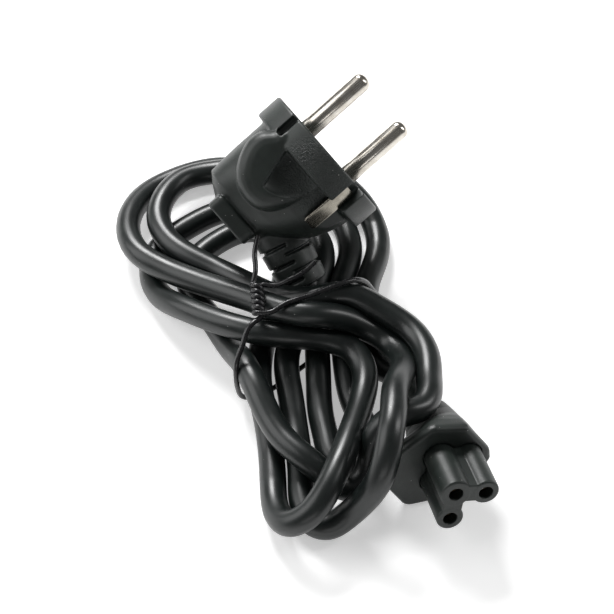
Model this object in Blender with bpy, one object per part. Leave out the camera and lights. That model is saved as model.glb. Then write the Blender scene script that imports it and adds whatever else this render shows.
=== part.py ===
"""Appliance power cord: an angled two-pin plug, a black cable wound in a loose hank and held by a
twisted tie wire, and a three-barrel appliance connector. All lengths are in metres, +Z is up and
the hank lies on the plane Z = 0."""

from math import cos, exp, pi, radians, sin

import bmesh
import bpy
import numpy as np
from mathutils import Euler, Matrix, Vector

MM = 0.001
CLEARANCE = 0.3 * MM  # between pieces that touch
BOOLEAN_REACH = 2 * MM  # how far a cutter passes the surface it cuts

# The whole object's place: its bounding box stands over the origin
FRAME_SHIFT = Vector((2.955, 5.965, 0.0)) * MM

# Cable
CABLE_D = 6.0 * MM
CABLE_SIDES_RESOLUTION = 2
CABLE_LEAD = 2.5 * MM  # straight end next to each strain relief
CABLE_MAX_SPACING = 20 * MM
CABLE_TIED_SPACING = 10 * MM  # where the tie wire lifts the strands
CABLE_MAX_TURN = radians(38)

# Tie wire, whose lower run lifts the strands that lie on it
TIE_D = 1.3 * MM
TIE_TWISTS = 3.5
TIE_TWIST_RADIUS = 0.9 * MM
TIE_LINE_START = Vector((-7.6, -19.3)) * MM
TIE_LINE_END = Vector((15.0, 1.8)) * MM
TIE_LIFT_REACH = 9 * MM
TIE_LIFT_SLACK = 0.6 * MM
TIE_MAX_SPACING = 5 * MM

# Plug: the frame has Z along the pins, X towards the cable and its origin at the middle of the face
PLUG_PLACE = Vector((5.3, 28.7, 33.6)) * MM
PLUG_TURN = (-57.6, 30.7, -39.9)  # degrees about X, Y and Z
PIN_D = 4.8 * MM
PIN_LENGTH = 19 * MM
PIN_SPACING = 19 * MM
PIN_SOCKET_DEPTH = 3 * MM
PIN_LINE_ANGLE = radians(38)  # pin line from the cable's side
COLLAR_D = 37 * MM
COLLAR_H = 7.1 * MM
COLLAR_EDGE = 0.5 * MM
BODY_DEPTH = 27.5 * MM  # face to the underside of the back plate
BODY_SECTIONS = (  # share of the depth, middle, half width, half thickness, all in mm but the first
    (0.20, 0.0, 16.2, 15.0),
    (0.45, -0.6, 15.6, 14.6),
    (0.69, -2.2, 13.9, 12.8),
    (0.90, -4.6, 11.2, 10.2),
    (1.02, -3.4, 7.4, 8.2),
)
BACK_PLATE = Vector((13.0, 16.0, 3.0)) * MM
BACK_PLATE_MIDDLE = -2.9 * MM
GRIP_HALF = Vector((10.4, 3.6, 13.4)) * MM  # raised oval on each broad side
GRIP_MIDDLE = Vector((-5.1, 12.6, -8.6)) * MM
DISH_HALF = Vector((5.8, 2.6, 5.0)) * MM  # thumb hollow in the oval
DISH_MIDDLE = Vector((-1.0, 16.4, -12.4)) * MM
SLOT_WIDTH = 1.7 * MM
SLOT_DEPTH = 2.2 * MM
SLOT_LENGTH = 6.1 * MM
SLOT_OFFSET = 11.2 * MM
CLIP_WIDTH = 4.2 * MM
CLIP_T = 0.8 * MM
CLIP_LENGTH = 15 * MM
CLIP_INSET = 2.0 * MM  # face to the clip's upper end
CLIP_FLAT = 15.2 * MM  # flat's distance from the plug's middle line
CLIP_FLAT_LENGTH = 18.5 * MM
RELIEF_START = Vector((6.0, 0.0, -22.4)) * MM
RELIEF_TILT = radians(13.8)
RELIEF_LENGTH = 15.5 * MM
RELIEF_ROOT_D = 13.2 * MM
RELIEF_END_D = 12.2 * MM
RELIEF_SLOTS = 5
RELIEF_SLOT_PITCH = 2.35 * MM
RELIEF_SLOT_WIDTH = 0.9 * MM
RELIEF_SLOT_OVERLAP = 0.7 * MM  # how far each slot passes the relief's middle line
RELIEF_SLOT_DEPTH = 1.6 * MM
RELIEF_SLOT_FIRST = 4.0 * MM

# Connector: the frame has Z out of the nose and its origin at the middle of the nose's end
CONNECTOR_PLACE = Vector((34.6, -60.6, 15.6)) * MM
CONNECTOR_TURN = (70.4, -32.2, 24.0)
NOSE_LENGTH = 13.3 * MM
NOSE_SEAT = 3 * MM
BARREL_D = 6.3 * MM
EARTH_BARREL_D = 7.2 * MM
BARREL_HALF_BASE = 5.05 * MM
BARREL_RISE = 4.9 * MM
HOLE_D = 3.3 * MM
HOLE_DEPTH = 11 * MM
SLEEVE_T = 0.35 * MM
SLEEVE_LENGTH = 7 * MM
SLEEVE_INSET = 2.5 * MM
CONNECTOR_SECTIONS = (  # distance behind the nose's end, middle X and Y, half sizes, squareness
    (13.3, -1.6, 1.6, 10.2, 7.2, 3.6),
    (14.6, -1.6, 1.6, 11.6, 8.6, 3.6),
    (18.0, -0.8, 0.9, 10.0, 7.2, 3.2),
    (22.0, 0.5, 0.1, 7.6, 5.0, 2.8),
    (26.0, 0.5, -0.2, 6.7, 4.2, 2.4),
    (30.0, 0.4, -0.2, 5.7, 4.0, 2.2),
    (32.5, 0.0, 0.0, 4.4, 4.2, 2.0),
    (41.0, 0.0, 0.0, 4.0, 4.0, 2.0),
)

# Cable's route from plug to connector, in millimetres: X, Y and height where nothing lifts it
ROUTE = (
    # over the floor strands, then down the inside of the lower loop and round its foot
    (1.9, 1.2, 9.7), (1.1, -3.3, 9.6), (-1.9, -7.3, 8.0), (-4.5, -11.4, 4.6),
    (-5.0, -16.5, 3.1), (-4.2, -23, 3.1), (-3.1, -31, 3.1), (-2.1, -39, 3.1), (-1.4, -47, 3.1),
    (-1.0, -54, 3.1), (1.2, -58.9, 3.2), (4.8, -60.4, 3.9),
    # up the right side and across to the left loop
    (8.8, -59.2, 6.0), (12.6, -58, 10.6), (15.9, -56.6, 17.0), (17.7, -53.4, 21.6), (18.7, -48.4, 24.3),
    (19.5, -42.7, 24.5), (20.1, -36.0, 22.9), (22.2, -27.4, 17.6), (22.6, -19, 12.4), (19.2, -12.6, 10.8),
    (13.2, -9.8, 12.2),
    (6.5, -10.2, 15.8), (0, -10.8, 17.2), (-7, -8.0, 16.8), (-14, -3.0, 15.0),
    (-21, 1.6, 12.8), (-28.5, 6.2, 11), (-36, 10.9, 9.8), (-42.5, 16, 9.4), (-46.3, 24.5, 8),
    (-45.8, 34.5, 6), (-41, 43.5, 3.8), (-33, 49, 3.1), (-24, 51.5, 3.1),
    # behind the plug and down the middle of the lower loop
    (-14, 50, 3.1), (-4, 45.5, 3.1), (5, 38.5, 3.1), (10, 30, 3.1), (11.1, 20, 3.1),
    (8.8, 10.5, 3.1), (8.3, 2, 3.1), (8.9, -8, 3.1), (9.7, -17, 3.1), (11.4, -26, 3.1),
    (14.0, -33, 3.1), (14.8, -38.2, 3.1), (13.2, -42.4, 3.1), (9.7, -44.1, 3.1), (6.3, -42.3, 3.1),
    # back up beside it, behind the plug and round under the left loop
    (4.9, -38, 3.1), (3.3, -29, 3.1), (2.8, -19, 3.1), (2.4, -8, 3.1), (1.9, 0.5, 3.1),
    (2.0, 9, 3.1), (3.9, 17, 3.1), (3.0, 26, 3.1), (-2.6, 33, 3.1), (-11, 37, 3.1), (-22, 36.2, 3.1),
    (-32, 30, 3.1), (-38.2, 23.5, 3.1), (-40.2, 16, 3.1),
    # front strand across to the lower loop, down its right side and round the lower left
    (-37.8, 7.6, 4.0), (-31.8, 0.2, 8.0), (-24.8, -5.2, 10.6), (-17, -9.8, 12.4), (-9.5, -12.4, 12.2),
    (-2, -13.1, 11.3), (5, -12.8, 9.8), (10.8, -15.0, 9.8), (13.8, -21, 9.8), (13.2, -29, 10.2),
    (10.6, -39.8, 12.9), (7.4, -50.4, 14.8), (4.2, -57.6, 14), (0.4, -61.8, 11.4), (-4.0, -62, 8),
    # up the left of the lower loop and behind the plug
    (-7.0, -57, 4.8), (-7.9, -49, 3.2), (-8.5, -40, 3.1), (-9.8, -31, 3.1), (-11.5, -22, 3.1),
    (-11.6, -13, 3.1), (-10.0, -4, 3.1), (-7.2, 4.5, 3.1), (-5.8, 13, 3.1), (-5.6, 21, 3.1),
    (-9.4, 27.8, 3.1), (-16, 29.3, 3.1), (-22.5, 26, 3.1), (-28.0, 20.5, 3.1), (-30.6, 13.8, 3.1),
    # down the left side of the lower loop
    (-28.8, 7.2, 3.1), (-25.0, 1.2, 3.1), (-21.4, -5.0, 3.2), (-18.4, -11.5, 5.2),
    (-15.4, -18.5, 8.6), (-12.3, -26.5, 9.5), (-9, -34.2, 9.5), (-4.9, -41, 9.6), (0.3, -46.2, 9.4),
    (5.6, -49.7, 6.7), (9.8, -50.8, 4.9),
    # under its neighbours, over the connector and round the outside to the left loop
    (13.2, -48.8, 6.4), (15.1, -44.1, 12.4), (18.0, -41.2, 17.4), (22.3, -39.6, 19.1), (26.1, -37.6, 18.4),
    (28.2, -33.6, 17.6), (28.7, -28, 16.2), (28.5, -20, 15.4), (24.8, -12.2, 15), (17.5, -7.0, 15.6), (9.5, -4.0, 16.2), (1.5, -4.6, 15.8),
    (-7.8, -1.4, 14.0), (-15.0, 4.9, 11.1), (-21.5, 10.0, 9.5), (-29, 14.6, 9.5), (-35.2, 20.1, 9.5),
    (-38.5, 27.5, 9.5), (-37.2, 36.5, 9.1), (-32, 43.5, 8.2), (-23.5, 46, 8),
    # over the other strand behind the plug and straight down to the connector
    (-14, 46.3, 9.3), (-4, 45.8, 9.7), (6, 43.2, 8.8), (13.8, 38, 5.6), (18.1, 29.5, 3.1),
    (18.1, 20, 3.1), (15.5, 10.5, 3.1), (15.1, 1, 3.1), (16, -8, 3.1), (18.6, -15.5, 3.2),
)

# Tie wire's run round the strands, in millimetres, from the twist's foot and back to it
TIE_ROUTE = (
    (-13.2, -14.6, 20.0), (-15.2, -18.4, 17.6), (-16.9, -22.2, 14.6), (-17.6, -24.4, 11.0),
    (-17.2, -25.0, 6.0), (-15.0, -23.8, 1.8), (-11.4, -21.6, 0.9), (-4.0, -15.9, 0.8),
    (4.0, -8.5, 0.8), (12.0, -1.0, 0.85), (17.8, 3.4, 1.4), (20.2, 3.6, 4.8), (18.6, 2.2, 9.0),
    (16.2, 1.0, 13.5), (14.5, -0.2, 18.0), (11.4, -2.6, 21.9), (5.5, -5.4, 22.5), (-0.5, -8.2, 22.5),
    (-6.0, -10.6, 22.2), (-9.6, -12.3, 21.5),
)
TIE_TWIST_FOOT = Vector((-11.6, -11.9, 21.1)) * MM
TIE_TWIST_HEAD = Vector((-12.2, -3.4, 20.7)) * MM
TIE_END_UPPER = ((-12.6, 0.2, 21.5), (-12.8, 4.6, 23.2), (-12.0, 8.4, 25.6))
TIE_END_SIDE = ((-9.4, -3.4, 21.0), (-4.6, -3.2, 22.6), (-0.6, -1.2, 23.6), (2.0, 0.6, 25.2))

SEGMENTS = 48


def clear_scene():
    """Removes whatever the scene holds."""
    for obj in list(bpy.data.objects):
        bpy.data.objects.remove(obj, do_unlink=True)


def make_material(name, colour, roughness, metallic=0.0):
    """A Principled material; colour is linear RGB."""
    material = bpy.data.materials.new(name)
    material.use_nodes = True
    shader = material.node_tree.nodes["Principled BSDF"]
    shader.inputs["Base Color"].default_value = (*colour, 1.0)
    shader.inputs["Roughness"].default_value = roughness
    shader.inputs["Metallic"].default_value = metallic
    return material


def add_object(name, mesh_or_curve, material=None, parent=None):
    """Links a new object, with its material and parent."""
    obj = bpy.data.objects.new(name, mesh_or_curve)
    bpy.context.scene.collection.objects.link(obj)
    if material:
        mesh_or_curve.materials.append(material)
    obj.parent = parent
    return obj


def add_frame(name, place, turn):
    """An empty that carries a group of pieces, turned by degrees about X, Y and Z."""
    frame = add_object(name, None)
    frame.location = place + FRAME_SHIFT
    frame.rotation_euler = Euler([radians(angle) for angle in turn])
    return frame


def frame_matrix(place, turn):
    """The matrix of a frame made by add_frame."""
    rotation = Euler([radians(angle) for angle in turn]).to_matrix().to_4x4()
    return Matrix.Translation(place + FRAME_SHIFT) @ rotation


def oval_ring(centre, half_x, half_y, power=2.0, count=SEGMENTS):
    """Points round a superellipse in a plane of constant Z."""
    ring = []
    for k in range(count):
        angle = 2 * pi * k / count
        c, s = cos(angle), sin(angle)
        x = half_x * abs(c) ** (2 / power) * (1 if c >= 0 else -1)
        y = half_y * abs(s) ** (2 / power) * (1 if s >= 0 else -1)
        ring.append(centre + Vector((x, y, 0)))
    return ring


def loft(name, rings):
    """A closed mesh through rings of equal count, from the lowest Z to the highest."""
    bm = bmesh.new()
    rows = [[bm.verts.new(point) for point in ring] for ring in rings]
    count = len(rows[0])
    for low, high in zip(rows, rows[1:]):
        for k in range(count):
            n = (k + 1) % count
            bm.faces.new((low[k], low[n], high[n], high[k]))
    bm.faces.new(reversed(rows[0]))
    bm.faces.new(rows[-1])
    bm.normal_update()
    mesh = bpy.data.meshes.new(name)
    bm.to_mesh(mesh)
    bm.free()
    return mesh


def cylinder(name, diameter, low, high, end_diameter=None, count=SEGMENTS):
    """A turned mesh along Z from low to high."""
    end_diameter = diameter if end_diameter is None else end_diameter
    return loft(name, [oval_ring(Vector((0, 0, z)), d / 2, d / 2, count=count)
                       for z, d in ((low, diameter), (high, end_diameter))])


def box(name, size):
    """A box about the origin."""
    bm = bmesh.new()
    bmesh.ops.create_cube(bm, size=1.0)
    bmesh.ops.scale(bm, vec=size, verts=bm.verts)
    mesh = bpy.data.meshes.new(name)
    bm.to_mesh(mesh)
    bm.free()
    return mesh


def ellipsoid(name, half, top=None):
    """A rounded solid of three half lengths about the origin, cut level at the top where one is given."""
    top = half.z if top is None else top
    rows, tip = 14, 0.06
    low = -pi / 2 + tip
    high = min(pi / 2 - tip, np.arcsin(min(1.0, top / half.z)))
    angles = [low + (high - low) * k / rows for k in range(rows + 1)]
    return loft(name, [oval_ring(Vector((0, 0, half.z * sin(a))), half.x * cos(a), half.y * cos(a), count=32)
                       for a in angles])


def combine(target, mesh, operation, place=(0, 0, 0), turn=(0, 0, 0)):
    """Adds a helper solid in the target's frame and joins it to, or cuts it from, the target."""
    helper = add_object(f"{target.name}_{operation.lower()}_{len(target.modifiers)}", mesh)
    helper.parent = target.parent
    helper.location = place
    helper.rotation_euler = turn
    helper.hide_render = True
    helper.display_type = "WIRE"
    modifier = target.modifiers.new(helper.name, "BOOLEAN")
    modifier.operation = operation
    modifier.solver = "EXACT"
    modifier.object = helper
    return helper


def smooth_shade(obj):
    """Smooth shading with sharp edges kept."""
    obj.data.shade_smooth()
    obj.data.set_sharp_from_angle(angle=radians(35))


def spline_tangents(points, start, end):
    """Tangents of the smooth curve through the points, with given unit tangents at its ends."""
    steps = np.linalg.norm(np.diff(points, axis=0), axis=1)
    count = len(points)
    system = np.zeros((count, count))
    right = np.zeros((count, 3))
    system[0, 0] = system[-1, -1] = 1
    right[0], right[-1] = start, end
    for k in range(1, count - 1):
        before, after = steps[k - 1], steps[k]
        system[k, k - 1:k + 2] = after, 2 * (before + after), before
        slope_in = (points[k] - points[k - 1]) / before
        slope_out = (points[k + 1] - points[k]) / after
        right[k] = 3 * (after * slope_in + before * slope_out)
    return steps, np.linalg.solve(system, right)


def smooth_curve(points, start, end, step=MM):
    """Closely spaced points on the smooth curve through the route's points."""
    points = np.array(points, dtype=float)
    steps, tangents = spline_tangents(points, start, end)
    out = []
    for k, length in enumerate(steps):
        pieces = max(2, round(length / step))
        for u in np.arange(pieces) / pieces:
            a, b = u * u * (3 - 2 * u), u * (1 - u)
            out.append((1 - a) * points[k] + a * points[k + 1]
                       + length * b * ((1 - u) * tangents[k] - u * tangents[k + 1]))
    out.append(points[-1])
    return np.array(out)


def thin_points(dense, spacings, turn):
    """Keeps a point of a dense curve wherever it has run on, or has turned, far enough."""
    kept, heading, run = [0], None, 0.0
    for k in range(1, len(dense) - 1):
        step = dense[k] - dense[k - 1]
        run += np.linalg.norm(step)
        step = step / np.linalg.norm(step)
        heading = step if heading is None else heading
        turned = np.arccos(np.clip(step @ heading, -1, 1))
        if run >= spacings[k] or turned >= turn:
            kept.append(k)
            heading, run = step, 0.0
    return [Vector(dense[k]) for k in kept + [len(dense) - 1]]


def tube(name, points, diameter, resolution, material):
    """A round tube along a poly line, with filled ends."""
    curve = bpy.data.curves.new(name, "CURVE")
    curve.dimensions = "3D"
    curve.bevel_depth = diameter / 2
    curve.bevel_resolution = resolution
    curve.use_fill_caps = True
    spline = curve.splines.new("POLY")
    spline.points.add(len(points) - 1)
    for item, point in zip(spline.points, points):
        item.co = (*point, 1.0)
    spline.use_smooth = True
    return add_object(name, curve, material)


def tie_lift(x, y):
    """How far the tie wire's lower run lifts a strand at this place."""
    along = TIE_LINE_END - TIE_LINE_START
    offset = Vector((x, y)) - TIE_LINE_START
    distance = (along.x * offset.y - along.y * offset.x) / along.length
    return (TIE_D + TIE_LIFT_SLACK) * exp(-(distance / TIE_LIFT_REACH) ** 2)


def along_pins(angle):
    """Unit direction in the plug's face at this angle from the cable's side."""
    return Vector((cos(angle), sin(angle), 0))


def relief_axis():
    """Direction in which the strain relief leaves the plug, in the plug's frame."""
    return Vector((cos(RELIEF_TILT), 0, -sin(RELIEF_TILT)))


def plug_body(frame, material):
    """Collar, body, back plate, grips and strain relief of the plug, moulded as one piece."""
    rings = [oval_ring(Vector((middle * MM, 0, -share * BODY_DEPTH)), wide * MM, thick * MM, 2.7)
             for share, middle, wide, thick in reversed(BODY_SECTIONS)]
    body = add_object("plug_body", loft("plug_body", rings), material, frame)
    edge = COLLAR_D / 2 - COLLAR_EDGE
    collar = [oval_ring(Vector((0, 0, z)), r, r, count=64) for z, r in (
        (-COLLAR_H, edge), (-COLLAR_H + COLLAR_EDGE, COLLAR_D / 2),
        (-COLLAR_EDGE, COLLAR_D / 2), (0, edge))]
    combine(body, loft("collar", collar), "UNION")
    plate_low = -BODY_DEPTH - BACK_PLATE.z
    plate = [oval_ring(Vector((BACK_PLATE_MIDDLE, 0, z)), BACK_PLATE.x / 2 - inset,
                       BACK_PLATE.y / 2 - inset, 5.0)
             for z, inset in ((plate_low, COLLAR_EDGE), (plate_low + COLLAR_EDGE, 0),
                              (-BODY_DEPTH, 0), (-BODY_DEPTH + BOOLEAN_REACH, 0))]
    combine(body, loft("back_plate", plate), "UNION")
    for side in (-1, 1):
        place = Vector((GRIP_MIDDLE.x, side * GRIP_MIDDLE.y, GRIP_MIDDLE.z))
        combine(body, ellipsoid("grip", GRIP_HALF, -GRIP_MIDDLE.z - COLLAR_H / 2), "UNION", place)
    relief = cylinder("relief", RELIEF_END_D, -RELIEF_LENGTH, 0, RELIEF_ROOT_D, 32)
    relief_turn = (0, -pi / 2 + RELIEF_TILT, 0)
    combine(body, relief, "UNION", RELIEF_START, relief_turn)
    for side in (-1, 1):
        place = Vector((DISH_MIDDLE.x, side * DISH_MIDDLE.y, DISH_MIDDLE.z))
        combine(body, ellipsoid("dish", DISH_HALF), "DIFFERENCE", place)
    for k in range(RELIEF_SLOTS):
        cut_relief_slots(body, k, relief_turn)
    clip_angle = PIN_LINE_ANGLE - pi / 2
    for side in (0, pi):
        cut_collar_details(body, clip_angle + side, side)
    smooth_shade(body)
    return body


def cut_relief_slots(body, k, turn):
    """One pair of slots across the strain relief; neighbours stand half a width aside."""
    along = RELIEF_SLOT_FIRST + k * RELIEF_SLOT_PITCH
    aside = relief_axis().cross(Vector((0, 1, 0))) * (RELIEF_END_D / 4 * (1 if k % 2 else -1))
    diameter = RELIEF_ROOT_D + (RELIEF_END_D - RELIEF_ROOT_D) * along / RELIEF_LENGTH
    depth = RELIEF_SLOT_DEPTH + BOOLEAN_REACH
    for side in (-1, 1):
        out = Vector((0, side * (diameter / 2 - RELIEF_SLOT_DEPTH + depth / 2), 0))
        long = RELIEF_END_D / 2 + 2 * RELIEF_SLOT_OVERLAP
        cutter = box("relief_slot", Vector((long, depth, RELIEF_SLOT_WIDTH)))
        combine(body, cutter, "DIFFERENCE", RELIEF_START + relief_axis() * along + aside + out, turn)


def cut_collar_details(body, clip_angle, half_turn):
    """Flat and notch for an earth clip, a guide slot and a pin's socket on one side of the plug."""
    out = along_pins(clip_angle)
    turn = (0, 0, clip_angle)
    reach = COLLAR_D
    top = COLLAR_H + CLEARANCE
    flat = box("clip_flat", Vector((reach, reach, CLIP_FLAT_LENGTH - top)))
    middle = out * (CLIP_FLAT + reach / 2)
    middle.z = -(CLIP_FLAT_LENGTH + top) / 2
    combine(body, flat, "DIFFERENCE", middle, turn)
    notch_height = COLLAR_H + 2 * BOOLEAN_REACH
    notch = box("clip_notch", Vector((reach, CLIP_WIDTH + 2 * CLEARANCE, notch_height)))
    middle = out * (CLIP_FLAT - CLEARANCE / 2 + reach / 2)
    middle.z = -COLLAR_H / 2
    combine(body, notch, "DIFFERENCE", middle, turn)
    across = SLOT_OFFSET * (-1 if half_turn == 0 else 1)
    rim = (COLLAR_D ** 2 / 4 - SLOT_OFFSET ** 2) ** 0.5
    deep = SLOT_DEPTH + BOOLEAN_REACH
    slot = box("guide_slot", Vector((SLOT_WIDTH, deep, SLOT_LENGTH + BOOLEAN_REACH)))
    side = -1 if half_turn == 0 else 1
    place = Vector((across, side * (rim - SLOT_DEPTH + deep / 2), (BOOLEAN_REACH - SLOT_LENGTH) / 2))
    combine(body, slot, "DIFFERENCE", place)
    socket = cylinder("pin_socket", PIN_D + 2 * CLEARANCE, -PIN_SOCKET_DEPTH, BOOLEAN_REACH, count=32)
    combine(body, socket, "DIFFERENCE", along_pins(PIN_LINE_ANGLE + half_turn) * (PIN_SPACING / 2))


def plug_pin(name, frame, material, angle):
    """A pin with a rounded end, standing in its socket."""
    radius = PIN_D / 2
    foot = -PIN_SOCKET_DEPTH + CLEARANCE
    rings = [oval_ring(Vector((0, 0, foot)), radius, radius, count=32)]
    for k in range(5):
        bend = k * pi / 2 / 5
        z = PIN_LENGTH - radius * (1 - sin(bend))
        rings.append(oval_ring(Vector((0, 0, z)), radius * cos(bend), radius * cos(bend), count=32))
    pin = add_object(name, loft(name, rings), material, frame)
    pin.location = along_pins(angle) * (PIN_SPACING / 2)
    smooth_shade(pin)
    return pin


def earth_clip(name, frame, material, angle):
    """A spring strip that lies along its flat, with a low crown over the collar's notch."""
    crown = CLIP_T
    length = CLIP_LENGTH - CLIP_INSET
    steps = 12
    bm = bmesh.new()
    columns = []
    for k in range(steps + 1):
        z = -CLIP_INSET - length * k / steps
        low = CLIP_FLAT + CLEARANCE
        high = low + CLIP_T + crown * sin(pi * k / steps)
        columns.append([bm.verts.new((x, y, z)) for x, y in (
            (low, -CLIP_WIDTH / 2), (high, -CLIP_WIDTH / 2), (high, CLIP_WIDTH / 2), (low, CLIP_WIDTH / 2))])
    for upper, lower in zip(columns, columns[1:]):
        for k in range(4):
            n = (k + 1) % 4
            bm.faces.new((upper[n], upper[k], lower[k], lower[n]))
    bm.faces.new(columns[0])
    bm.faces.new(reversed(columns[-1]))
    bmesh.ops.recalc_face_normals(bm, faces=bm.faces)
    mesh = bpy.data.meshes.new(name)
    bm.to_mesh(mesh)
    bm.free()
    clip = add_object(name, mesh, material, frame)
    clip.rotation_euler = (0, 0, angle)
    smooth_shade(clip)
    return clip


def barrels():
    """Middle and diameter of the left, right and earth barrel in the connector's frame."""
    low = -BARREL_RISE / 2
    return ((Vector((-BARREL_HALF_BASE, low, 0)), BARREL_D), (Vector((BARREL_HALF_BASE, low, 0)), BARREL_D),
            (Vector((0, -low, 0)), EARTH_BARREL_D))


def connector_body(frame, material):
    """The connector's grip, narrowing to its strain relief, with the seat for the nose."""
    rings = [oval_ring(Vector((x, y, -back)) * MM, wide * MM, thick * MM, power)
             for back, x, y, wide, thick, power in CONNECTOR_SECTIONS]
    body = add_object("connector_body", loft("connector_body", rings[::-1]), material, frame)
    for place, diameter in barrels():
        seat = cylinder("barrel_seat", diameter + 2 * CLEARANCE, -NOSE_LENGTH - NOSE_SEAT,
                        -NOSE_LENGTH + BOOLEAN_REACH, count=32)
        combine(body, seat, "DIFFERENCE", place)
    for start, end in nose_webs():
        web = web_box("web_seat", start, end, CLEARANCE, -NOSE_LENGTH - NOSE_SEAT, -NOSE_LENGTH + BOOLEAN_REACH)
        combine(body, web[0], "DIFFERENCE", web[1], web[2])
    smooth_shade(body)
    return body


def nose_webs():
    """Pairs of barrel middles that a web of plastic joins."""
    left, right, earth = (place for place, _ in barrels())
    return (left, earth), (right, earth)


def web_box(name, start, end, grow, low, high):
    """Mesh, place and turn of the web between two barrels."""
    across = end - start
    size = Vector((across.length, BARREL_D * 0.72 + 2 * grow, high - low))
    place = (start + end) / 2
    place.z = (low + high) / 2
    return box(name, size), place, (0, 0, across.to_2d().angle_signed(Vector((1, 0))))


def connector_nose(frame, material):
    """Three joined barrels with their contact holes, seated in the body."""
    low = -NOSE_LENGTH - NOSE_SEAT + CLEARANCE
    *outer, (middle, middle_d) = barrels()
    nose = add_object("connector_nose", cylinder("connector_nose", middle_d, low, 0, count=32), material, frame)
    nose.location = middle
    for place, diameter in outer:
        combine(nose, cylinder("barrel", diameter, low, 0, count=32), "UNION", place)
    for start, end in nose_webs():
        web = web_box("web", start, end, 0, low, 0)
        combine(nose, web[0], "UNION", web[1], web[2])
    for place, _ in barrels():
        hole = cylinder("contact_hole", HOLE_D, -HOLE_DEPTH, BOOLEAN_REACH, count=24)
        combine(nose, hole, "DIFFERENCE", place)
    smooth_shade(nose)
    return nose


def contact_sleeve(name, frame, material, place):
    """A spring tube in a contact hole, open towards the nose's end."""
    outer = HOLE_D - 2 * CLEARANCE
    low, high = -SLEEVE_INSET - SLEEVE_LENGTH, -SLEEVE_INSET
    sleeve = add_object(name, cylinder(name, outer, low, high, count=24), material, frame)
    sleeve.location = place
    bore = cylinder("sleeve_bore", outer - 2 * SLEEVE_T, low + 2 * SLEEVE_T, high + BOOLEAN_REACH, count=24)
    combine(sleeve, bore, "DIFFERENCE", place)
    smooth_shade(sleeve)
    return sleeve


def cable(material):
    """The cable from the plug's strain relief to the connector's."""
    plug = frame_matrix(PLUG_PLACE, PLUG_TURN)
    connector = frame_matrix(CONNECTOR_PLACE, CONNECTOR_TURN)
    start = plug @ (RELIEF_START + relief_axis() * (RELIEF_LENGTH + CLEARANCE))
    leave = plug.to_3x3() @ relief_axis()
    back = CONNECTOR_SECTIONS[-1][0] * MM + CLEARANCE
    end = connector @ Vector((0, 0, -back))
    arrive = connector.to_3x3() @ Vector((0, 0, 1))
    middle = [Vector((x * MM, y * MM, z * MM + tie_lift(x * MM, y * MM))) + FRAME_SHIFT for x, y, z in ROUTE]
    dense = smooth_curve([start + leave * CABLE_LEAD, *middle, end - arrive * CABLE_LEAD], leave, arrive)
    lifts = [tie_lift(x - FRAME_SHIFT.x, y - FRAME_SHIFT.y) for x, y, _ in dense]
    spacings = [CABLE_TIED_SPACING if lift > TIE_D / 2 else CABLE_MAX_SPACING for lift in lifts]
    points = [start, *thin_points(dense, spacings, CABLE_MAX_TURN), end]
    return tube("cable", points, CABLE_D, CABLE_SIDES_RESOLUTION, material)


def tie_wire(material):
    """The tie wire: a loop round the strands whose two ends twist together and stand free."""
    axis = TIE_TWIST_HEAD - TIE_TWIST_FOOT
    along = axis.normalized()
    aside = along.cross(Vector((0, 0, 1))).normalized()
    upright = aside.cross(along)

    def twist(phase):
        count = round(TIE_TWISTS * 7)
        spiral = []
        for k in range(count + 1):
            angle = phase + 2 * pi * TIE_TWISTS * k / count
            offset = (aside * cos(angle) + upright * sin(angle)) * TIE_TWIST_RADIUS
            spiral.append(TIE_TWIST_FOOT + axis * (k / count) + offset + FRAME_SHIFT)
        return spiral

    def placed(route):
        return [Vector(point) * MM + FRAME_SHIFT for point in route]

    upper, side = placed(TIE_END_UPPER), placed(TIE_END_SIDE)
    loop = placed(TIE_ROUTE)
    chain = upper[::-1] + twist(0)[::-1] + loop + twist(pi) + side
    start = (chain[1] - chain[0]).normalized()
    end = (chain[-1] - chain[-2]).normalized()
    dense = smooth_curve(chain, start, end, MM / 4)
    points = thin_points(dense, [TIE_MAX_SPACING] * len(dense), CABLE_MAX_TURN)
    return tube("tie_wire", points, TIE_D, CABLE_SIDES_RESOLUTION, material)


def main():
    clear_scene()
    pvc = make_material("black_pvc", (0.022, 0.023, 0.023), 0.5)
    sheath = make_material("black_sheath", (0.020, 0.020, 0.021), 0.38)
    nickel = make_material("nickel_plate", (0.62, 0.59, 0.54), 0.22, 1.0)
    brass = make_material("contact_brass", (0.60, 0.47, 0.25), 0.35, 1.0)
    coating = make_material("wire_coating", (0.015, 0.015, 0.016), 0.3)

    plug = add_frame("plug_frame", PLUG_PLACE, PLUG_TURN)
    plug_body(plug, pvc)
    plug_pin("pin_near", plug, nickel, PIN_LINE_ANGLE + pi)
    plug_pin("pin_far", plug, nickel, PIN_LINE_ANGLE)
    earth_clip("earth_clip_front", plug, nickel, PIN_LINE_ANGLE - pi / 2)
    earth_clip("earth_clip_back", plug, nickel, PIN_LINE_ANGLE + pi / 2)

    connector = add_frame("connector_frame", CONNECTOR_PLACE, CONNECTOR_TURN)
    connector_body(connector, pvc)
    connector_nose(connector, pvc)
    for name, (place, _) in zip(("sleeve_left", "sleeve_right", "sleeve_earth"), barrels()):
        contact_sleeve(name, connector, brass, place)

    cable(sheath)
    tie_wire(coating)


main()
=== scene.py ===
"""Appliance power cord: angled two-pin plug, black cable in a hank with its tie wire, and a three-barrel
appliance connector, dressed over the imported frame.

Lengths are in metres. Tables of points, profiles and sections are in millimetres.
"""

import logging
from collections.abc import Iterable
from dataclasses import dataclass, field
from enum import Enum
from math import cos, pi, radians, sin

import bmesh
import bpy
import numpy as np
from mathutils import Euler, Matrix, Vector, noise


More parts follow.
